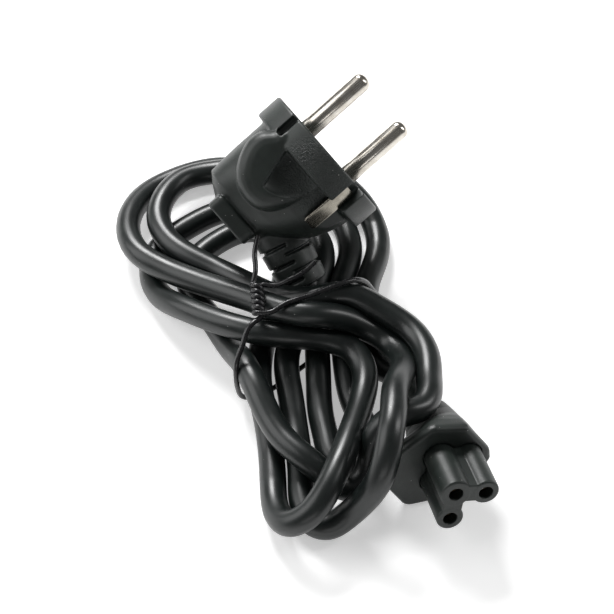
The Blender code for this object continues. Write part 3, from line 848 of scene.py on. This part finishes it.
    def grips(self) -> Parts:
        """The raised oval on each broad side, with its thumb hollow and that hollow's sharp left ridge.

        Returns:
            The ovals and the hollows.
        """
        parts, middle = [], Vector(self.grip_middle)
        outline = rounded_outline(self.grip_outline, pieces=5)
        x, y, z = self.hollow_middle
        for side in Side:
            pad = Former()
            for level, share in self.grip_levels:
                rim = [middle + (point - middle) * share for point in outline]
                pad.ring_through([Vector((point.x, side.value * level, point.y)) * MM for point in rim])
            parts.append((pad.close().solid("grip"), Join.ADD))
            hollow = Former().ball(Vector(self.hollow_half) * MM)
            hollow.place(Vector((x, side.value * y, z)) * MM, Euler((0, 0, -side.value * self.hollow_turn)))
            hollow.trim(Vector(self.ridge_point) * MM, Vector(self.ridge_away))
            hollow.trim(Vector((0, 0, self.hollow_top)) * MM, Vector((0, 0, 1)))
            parts.append((hollow.solid("hollow"), Join.CUT))
        return parts

    def back_plate(self) -> Piece:
        """The stepped plate on the plug's back.

        Returns:
            The plate.
        """
        former, (wide, thick) = Former(), self.plate_half
        for depth, inset in self.plate_profile:
            former.ring(Vector((self.plate_middle, 0, -depth)) * MM, (wide - inset) * MM, (thick - inset) * MM,
                        power=self.plate_squareness, count=96)
        return former.close().solid("back_plate")

    def relief(self) -> Parts:
        """The tapered strain relief, with half-round slots that stand aside by turns.

        Returns:
            The relief and its slots.
        """
        turn = Euler((0, -pi / 2 + self.relief_tilt, 0))
        matrix = Matrix.LocRotScale(self.relief_start, turn, None)
        root, end = (diameter / 2 for diameter in self.relief_diameters)
        full, soft = self.relief_length, self.relief_soft
        profile = ((0, root), (-full / 2, (root + end) / 2), (soft - full, end),
                   (soft / 4 - full, end - soft / 3), (-full, end - soft))
        parts = [(lathed(profile).place(self.relief_start, turn).solid("relief"), Join.ADD)]
        half = self.relief_slot_width / 2
        for k in range(self.relief_slots):
            along = self.relief_first + k * self.relief_pitch
            radius, way = root + (end - root) * along / full, 1 if k % 2 else -1
            disc = lathed((step - along, radius + self.relief_slot_past) for step in (-half, half))
            disc.trim(Vector((-way * self.relief_slot_overlap, 0, 0)), Vector((-way, 0, 0)))
            core = lathed((step - along, radius - self.relief_slot_depth) for step in (-2 * half, 2 * half))
            slot = combined(disc.solid("relief_slot"), [(core.solid("relief_core"), Join.CUT)])
            slot.data.transform(matrix)
            parts.append((slot, Join.CUT))
        return parts

    def collar_cuts(self, side: Side) -> Parts:
        """Flat and notch for an earth clip, guide slot, mould line and pin socket of one half.

        Args:
            side: which half of the plug.

        Returns:
            The cutters.
        """
        half = 0 if side is Side.FRONT else pi
        angle = self.pin_angle - pi / 2 + half
        out, turn = self.around(angle), Euler((0, 0, angle))
        reach, gap, past, parts = self.collar_diameter, self.gap, self.past, []

        def cut(size: Vector, middle: Vector, turn_by: Euler | None = None) -> None:
            """Adds one straight cutter."""
            parts.append((Former().block(size).place(middle, turn_by).solid("cutter"), Join.CUT))

        top = self.collar_height + gap
        cut(Vector((reach, reach, self.clip_flat_length - top)),
            out * (self.clip_flat + reach / 2) + Vector((0, 0, -(self.clip_flat_length + top) / 2)), turn)
        cut(Vector((reach, self.clip_width + 2 * gap, self.collar_height + 2 * past)),
            out * (self.clip_flat - gap / 2 + reach / 2) + Vector((0, 0, -self.collar_height / 2)), turn)
        radius, deep = self.collar_diameter / 2, self.slot_depth + past
        rim = (radius ** 2 - self.slot_offset ** 2) ** 0.5
        cut(Vector((self.slot_width, deep, self.slot_length + past)),
            Vector((self.slot_offset * side.value, side.value * (rim - self.slot_depth + deep / 2),
                    (past - self.slot_length) / 2)))
        cut(Vector((2 * self.line_depth, self.line_width, self.collar_height * 2)),
            Vector((side.value * radius, side.value * self.line_offset, 0)))
        socket = lathed((-depth, (self.pin_diameter + gap) / 2) for depth in (-past, self.socket_depth))
        socket.place(self.around(self.pin_angle + half) * (self.pin_spacing / 2))
        parts.append((socket.solid("socket"), Join.CUT))
        return parts

    def build_body(self) -> None:
        """Builds the moulded body."""
        former = Former()
        for depth, middle, wide, thick, power in self.sections:
            former.ring(Vector((middle, 0, -depth)) * MM, wide * MM, thick * MM, power, count=96)
        body = former.close().solid("plug_moulding")
        parts = [(self.collar(), Join.ADD), (self.back_plate(), Join.ADD), *self.grips(), *self.relief()]
        for side in Side:
            parts += self.collar_cuts(side)
        coarse = tuple(tuple(self.matrix @ point) for point in in_metres(self.coarse_grain))
        finish = MouldedPvc("plug_pvc", patches=coarse)
        dressed(moulded(combined(body, parts), self.cell), finish.material(), "plug_body", self.matrix)

    def metal(self, name: str, base: Triple, tarnish: Triple, roughness: Pair) -> Material:
        """A plated finish with its lines along the pins."""
        return PlatedMetal(name, base, tarnish, roughness, grain_turn=tuple(self.matrix.to_euler())).material()

    def build_pins(self) -> None:
        """Builds the two pins, with rounded ends and a chamfered foot."""
        nickel = self.metal("plated_nickel", (0.62, 0.59, 0.54), (0.47, 0.43, 0.37), (0.16, 0.30))
        radius, foot = self.pin_diameter / 2, self.gap - self.socket_depth
        angles = [k * pi / 2 / self.pin_steps for k in range(self.pin_steps + 1)]
        profile = [(foot, radius - self.pin_chamfer), (foot + 2 * self.pin_chamfer, radius)]
        profile += [(self.pin_length - radius * (1 - sin(angle)) * self.pin_dome,
                     radius * max(cos(angle), self.pin_tip)) for angle in angles]
        for name, angle in (("pin_near", self.pin_angle + pi), ("pin_far", self.pin_angle)):
            former = lathed(profile, count=48).place(self.around(angle) * (self.pin_spacing / 2))
            pin = former.solid(name + "_turned")
            dressed(smoothed(pin, crease=50), nickel, name, self.matrix)

    def build_clips(self) -> None:
        """Builds the sprung earth strips, crowned over the collar's notch."""
        # Painted shade: the clips take a darker copy of the pins' nickel, standing in for the shadow in the
        # collar's notch and the dark that the strips reflect there.
        nickel = self.metal("clip_nickel_painted_shade", (0.30, 0.28, 0.24), (0.17, 0.155, 0.13), (0.16, 0.26))
        low, length = self.clip_flat + self.gap, self.clip_length - self.clip_inset
        for name, half in (("earth_clip_front", 0.0), ("earth_clip_back", pi)):
            former = Former()
            for k in range(self.clip_steps + 1):
                share = k / self.clip_steps
                thick = self.clip_thickness + self.clip_crown * sin(pi * share)
                tip = self.clip_tip if k in (0, self.clip_steps) else 0.0
                former.ring(Vector((low + thick / 2, 0, -self.clip_inset - length * share)),
                            thick / 2 - tip * self.clip_tip_share, self.clip_width / 2 - tip,
                            power=self.clip_squareness, count=40)
            former.close().place(Vector(), Euler((0, 0, self.pin_angle - pi / 2 + half)))
            dressed(smoothed(former.solid(name + "_strip"), crease=40), nickel, name, self.matrix)


# ---- connector


@dataclass
class Connector:
    """The three-barrel connector. Its frame has Z out of the nose and its origin on the nose's end."""

    place: Vector = field(default_factory=lambda: Vector((34.6, -60.6, 15.6)) * MM)
    turn: Triple = (70.4, -32.2, 24.0)
    gap: float = 0.3 * MM
    past: float = 2 * MM
    body_cell: float = 0.2 * MM
    nose_cell: float = 0.16 * MM
    nose_length: float = 13.3 * MM
    nose_soft: float = 0.4 * MM
    rim_share: float = 0.3
    seat: float = 3 * MM
    groove_gap: float = 0.16 * MM
    groove_depth: float = 0.7 * MM
    barrel_diameter: float = 6.3 * MM
    earth_diameter: float = 7.2 * MM
    half_base: float = 5.05 * MM
    rise: float = 4.9 * MM
    web_share: float = 0.72
    web_inset: float = 0.05 * MM
    hole_diameter: float = 3.3 * MM
    hole_depth: float = 11 * MM
    sleeve_wall: float = 0.35 * MM
    sleeve_length: float = 7 * MM
    sleeve_inset: float = 2.5 * MM
    sleeve_soft: float = 0.12 * MM
    sleeve_flare: float = 0.08 * MM
    # distance behind the nose's end, share of the shoulder's outline, its inset, and the oval's middle,
    # half sizes and squareness
    sections: tuple[tuple[float, ...], ...] = (
        (13.3, 1.0, 0.9, 0, 0, 1, 1, 2), (13.5, 1.0, 0.45, 0, 0, 1, 1, 2), (14.0, 1.0, 0.1, 0, 0, 1, 1, 2),
        (14.8, 1.0, 0, 0, 0, 1, 1, 2), (15.6, 0.97, 0.1, -0.8, 0.9, 10.0, 7.2, 3.2),
        (17.4, 0.72, 0.5, -0.8, 0.9, 10.0, 7.2, 3.2), (19.6, 0.38, 0.8, -0.1, 0.45, 8.9, 6.2, 3.0),
        (22.0, 0.10, 1, 0.5, 0.1, 7.6, 5.0, 2.8), (26.0, 0, 0, 0.5, -0.2, 6.7, 4.2, 2.4),
        (30.0, 0, 0, 0.4, -0.2, 5.7, 4.0, 2.2), (32.5, 0, 0, 0.0, 0.0, 4.4, 4.2, 2.0),
        (40.6, 0, 0, 0.0, 0.0, 4.0, 4.0, 2.0), (41.0, 0, 0, 0.0, 0.0, 3.7, 3.7, 2.0))
    shoulder: Pairs = (
        (-10.3, -7.0), (-8.5, -8.0), (-5.5, -8.5), (6.0, -8.7), (8.2, -7.8), (9.5, -5.6), (9.7, 4.2),
        (4.2, 9.7), (3.0, 10.2), (-8.0, 10.4), (-9.2, 9.9), (-13.4, 4.6), (-14.2, 3.0), (-14.5, -3.4),
        (-13.9, -4.5), (-13.0, -5.2))
    shoulder_middle: Pair = (-2.2, 0.8)
    pieces: list[Piece] = field(default_factory=list)

    @property
    def matrix(self) -> Matrix:
        """The connector's frame."""
        return frame_matrix(self.place, self.turn)

    @property
    def barrels(self) -> tuple[tuple[Vector, float], ...]:
        """Middle and diameter of the left, right and earth barrel."""
        low, side = -self.rise / 2, self.half_base
        return ((Vector((-side, low, 0)), self.barrel_diameter), (Vector((side, low, 0)), self.barrel_diameter),
                (Vector((0, -low, 0)), self.earth_diameter))

    def post(self, diameter: float, low: float, high: float, place: Vector, soft: float = 0.0) -> Piece:
        """A round solid along Z.

        Args:
            diameter: its diameter.
            low: its lower end.
            high: its upper end.
            place: its middle line.
            soft: rounding of its upper rim.

        Returns:
            The solid.
        """
        radius = diameter / 2
        middle = soft * self.rim_share
        rim = ((high - soft, radius), (high - middle, radius - middle)) if soft else ()
        return lathed(((low, radius), *rim, (high, radius - soft))).place(place).solid("post")

    def webs(self, grow: float, low: float, high: float) -> list[Piece]:
        """The webs that join the outer barrels to the earth barrel.

        Args:
            grow: how much thicker they are on each side.
            low: lower end.
            high: upper end.

        Returns:
            The solids.
        """
        solids = []
        left, right, earth = (place for place, _ in self.barrels)
        for start in (left, right):
            across = earth - start
            size = Vector((across.length, self.barrel_diameter * self.web_share + 2 * grow, high - low))
            middle = (start + earth) / 2 + Vector((0, 0, (low + high) / 2))
            turn = Euler((0, 0, across.to_2d().angle_signed(Vector((1, 0)))))
            solids.append(Former().block(size).place(middle, turn).solid("web"))
        return solids

    def build_body(self, pvc: Material) -> None:
        """Builds the moulded grip with the seat groove round the nose.

        Args:
            pvc: its finish.
        """
        former, centre, count = Former(), Vector(self.shoulder_middle), 120
        for back, share, inset, x, y, wide, thick, power in self.sections:
            points = []
            for angle in (2 * pi * k / count for k in range(count)):
                out = outline_point(self.shoulder, centre, angle)
                out -= (out - centre).normalized() * inset
                oval = superellipse(Vector((cos(angle), sin(angle), 0)), wide, thick, power) + Vector((x, y, 0))
                point = oval.lerp(Vector((out.x, out.y, 0)), share)
                points.append(Vector((point.x, point.y, -back)) * MM)
            former.ring_through(points)
        low, high = -self.nose_length - self.groove_depth, self.past - self.nose_length
        parts = [(self.post(diameter + 2 * self.groove_gap, low, high, place), Join.CUT)
                 for place, diameter in self.barrels]
        parts += [(web, Join.CUT) for web in self.webs(self.groove_gap, low, high)]
        body = combined(former.close().solid("connector_moulding"), parts)
        self.pieces.append(dressed(moulded(body, self.body_cell), pvc, "connector_body", self.matrix))

    def build_nose(self, pvc: Material) -> None:
        """Builds the three joined barrels with their contact holes.

        Args:
            pvc: their finish.
        """
        low = self.gap - self.nose_length - self.seat
        solids = [self.post(diameter, low, 0, place, self.nose_soft) for place, diameter in self.barrels]
        nose = solids.pop()
        nose.name = "connector_barrels"
        parts = [(solid, Join.ADD) for solid in solids + self.webs(0, low, -self.web_inset)]
        parts += [(self.post(self.hole_diameter, -self.hole_depth, self.past, place), Join.CUT)
                  for place, _ in self.barrels]
        nose = moulded(combined(nose, parts), self.nose_cell)
        self.pieces.append(dressed(nose, pvc, "connector_nose", self.matrix))

    def build_sleeves(self) -> None:
        """Builds the sprung contact tubes deep in the holes."""
        # Painted shade: the contact brass is darkened below its own colour, standing in for the shade deep in
        # the contact holes.
        shaded_brass = PlatedMetal("contact_spring_painted_shade", (0.30, 0.25, 0.16), (0.20, 0.16, 0.09), (0.42, 0.55),
                            grain_turn=tuple(self.matrix.to_euler())).material()
        outer, soft = self.hole_diameter / 2 - self.gap, self.sleeve_soft
        inner = outer - self.sleeve_wall
        low, high = -self.sleeve_inset - self.sleeve_length, -self.sleeve_inset
        profile = ((low, outer), (high - soft, outer), (high, outer - soft), (high, inner + self.sleeve_flare),
                   (high - soft, inner), (low + self.sleeve_wall, inner))
        for name, (place, _) in zip(("sleeve_left", "sleeve_right", "sleeve_earth"), self.barrels):
            tube = lathed(profile, count=40).place(place).solid(name + "_tube")
            self.pieces.append(dressed(smoothed(tube, crease=50), shaded_brass, name, self.matrix))


# ---- cable and tie wire


@dataclass
class Cable:
    """The cable from the plug's strain relief to the connector's."""

    plug: Plug
    connector: Connector
    diameter: float = 6.35 * MM
    lead: float = 2.5 * MM
    gap: float = 0.3 * MM
    step: float = 0.8 * MM
    unevenness: float = 0.012

    def centreline(self) -> list[Vector]:
        """Its route on one smooth curve, which keeps the cable on the floor.

        Returns:
            The route's points.
        """
        plug, connector = self.plug.matrix, self.connector.matrix
        start = plug @ (self.plug.relief_start + self.plug.relief_axis * (self.plug.relief_length + self.gap))
        leave = plug.to_3x3() @ self.plug.relief_axis
        end = connector @ Vector((0, 0, -self.connector.sections[-1][0] * MM - self.gap))
        arrive = connector.to_3x3() @ Vector((0, 0, 1))
        route = [start + leave * self.lead, *in_metres(ROUTE), end - arrive * self.lead]
        floor = self.diameter / 2 * (1 + self.unevenness)
        return [start, *(Vector((point.x, point.y, max(point.z, floor)))
                         for point in smooth_curve(route, leave, arrive, self.step)), end]

    def build(self) -> Piece:
        """Lays the cable."""
        cable = tube_curve("mains_cable", self.centreline(), self.diameter, resolution=7,
                           unevenness=self.unevenness)
        return dressed(cable, CableSheath().material(), "cable")

    def declare(self) -> None:
        points = self.centreline()


@dataclass
class TieWire:
    """The coated wire round the strands, whose ends twist together and stand free."""

    diameter: float = 1.3 * MM
    step: float = 0.35 * MM
    unevenness: float = 0.008
    twists: float = 2.5
    twist_radius: float = 1.05 * MM
    points_per_turn: int = 9

    def spiral(self, phase: float) -> list[Vector]:
        """One strand of the twist.

        Args:
            phase: its angle at the twist's foot.

        Returns:
            Its points from foot to head.
        """
        foot, head = in_metres(TIE_TWIST)
        along = (head - foot).normalized()
        aside = along.cross(Vector((0, 0, 1))).normalized()
        upright = aside.cross(along)
        count = round(self.twists * self.points_per_turn)
        points = []
        for k in range(count + 1):
            angle = phase + 2 * pi * self.twists * k / count
            points.append(foot + (head - foot) * (k / count)
                          + (aside * cos(angle) + upright * sin(angle)) * self.twist_radius)
        return points

    def build(self) -> None:
        """Bends the wire."""
        chain = [*in_metres(TIE_END_UPPER)[::-1], *self.spiral(0)[::-1], *in_metres(TIE_LOOP), *self.spiral(pi),
                 *in_metres(TIE_END_SIDE)]
        start, end = (chain[1] - chain[0]).normalized(), (chain[-1] - chain[-2]).normalized()
        points = smooth_curve(chain, start, end, self.step)
        wire = tube_curve("hank_tie", points, self.diameter, resolution=6, unevenness=self.unevenness)
        dressed(wire, WireCoat().material(), "tie_wire")


# ---- studio


@dataclass
class Studio:
    """Camera, lights and floor."""

    elevation: float = radians(52)
    distance: float = 0.4
    sensor: float = 36
    focal: float = 1600 / 614 * 36
    near: float = 0.01
    target: Vector = field(default_factory=lambda: FRAME_SHIFT + Vector((0, 0, 8)) * MM)
    floor_radius: float = 1.6
    ambient: float = 0.14
    # name, place, height of the point that it looks at, size and power of each soft light
    lights: tuple[tuple[str, Triple, float, Pair, float], ...] = (
        ("back_box", (-0.16, 0.46, 0.46), 0.01, (0.27, 0.20), 4.8),
        ("left_box", (-0.56, 0.04, 0.40), 0.02, (0.46, 0.60), 2.3),
        ("right_box", (0.52, 0.10, 0.40), 0.02, (0.14, 0.40), 1.2),
        ("front_strip", (-0.02, -0.52, 0.16), 0.01, (0.40, 0.07), 0.25))

    def build_camera(self) -> None:
        """Stands the camera at the photograph's angle."""
        camera = bpy.data.cameras.new("camera")
        camera.lens, camera.sensor_width = self.focal, self.sensor
        camera.clip_start = self.near
        view = link("camera", camera)
        view.location = self.target + Vector((0, -cos(self.elevation), sin(self.elevation))) * self.distance
        view.rotation_euler = (pi / 2 - self.elevation, 0, 0)
        bpy.context.scene.camera = view

    def build_room(self) -> None:
        """Lays the floor and hangs the lights."""
        former = Former()
        former.ring(Vector(), self.floor_radius, self.floor_radius, count=96)
        ground = former.solid("ground")
        ground.data.materials.append(PaleGround().material())
        for name, place, height, size, watts in self.lights:
            light = bpy.data.lights.new(name, "AREA")
            light.shape = "RECTANGLE"
            light.size, light.size_y = size
            light.energy = watts
            lamp = link(name, light)
            lamp.location = place
            lamp.rotation_euler = (Vector((0, 0, height)) - Vector(place)).to_track_quat("-Z", "Y").to_euler()
        world = bpy.data.worlds.new("room")
        world.use_nodes = True
        shader = world.node_tree.nodes["Background"]
        shader.inputs["Color"].default_value = (1, 1, 1, 1)
        shader.inputs["Strength"].default_value = self.ambient
        bpy.context.scene.world = world
        bpy.context.scene.view_settings.view_transform = "Standard"


def main() -> None:
    """Builds the cord in order: camera, cable, tie wire, plug, connector, room."""
    logging.basicConfig(level=logging.INFO, format="%(name)s: %(message)s")
    studio, plug, connector, pvc = Studio(), Plug(), Connector(), MouldedPvc().material()
    studio.build_camera()
    route = Cable(plug, connector)
    cable = route.build()
    TieWire().build()
    plug.build_body()
    plug.build_pins()
    plug.build_clips()
    connector.build_body(pvc)
    connector.build_nose(pvc)
    connector.build_sleeves()
    route.declare()
    studio.build_room()


if __name__ == "__main__":
    main()
